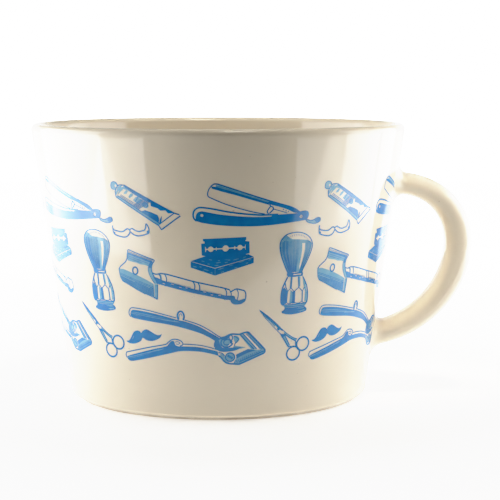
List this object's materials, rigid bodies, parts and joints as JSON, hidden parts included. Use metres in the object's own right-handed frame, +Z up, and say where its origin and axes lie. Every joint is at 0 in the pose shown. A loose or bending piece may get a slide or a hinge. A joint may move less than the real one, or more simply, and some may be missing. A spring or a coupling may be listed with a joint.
{
  "type": "shaving mug",
  "caption": "Wide tapered ceramic mug with a loop handle, cream glaze and a blue all-over print of shaving tools; holds lather or a hot drink.",
  "frame": {"origin": "centre of the foot ring, on the table", "axes": "+Z up along the mug's axis, +X towards the handle"},
  "size_m": [0.1296, 0.1094, 0.08],
  "materials": {
    "clay": "matte fired stoneware",
    "glaze": "glossy cream glaze",
    "ink": "glossy fired-on blue enamel print"
  },
  "bodies": {
    "root": {"cup_body": "clay", "handle": "clay", "upper_handle_slip": "clay", "lower_handle_slip": "clay", "cup_glaze": "glaze", "handle_glaze": "glaze", "underside_glaze": "glaze", "print_straight_razors": "ink", "print_cream_tubes": "ink", "print_outline_moustaches": "ink", "print_blade_boxes": "ink", "print_safety_razors": "ink", "print_shaving_brushes": "ink", "print_clippers": "ink", "print_solid_moustaches": "ink", "print_scissors": "ink"}
  },
  "joints": []
}
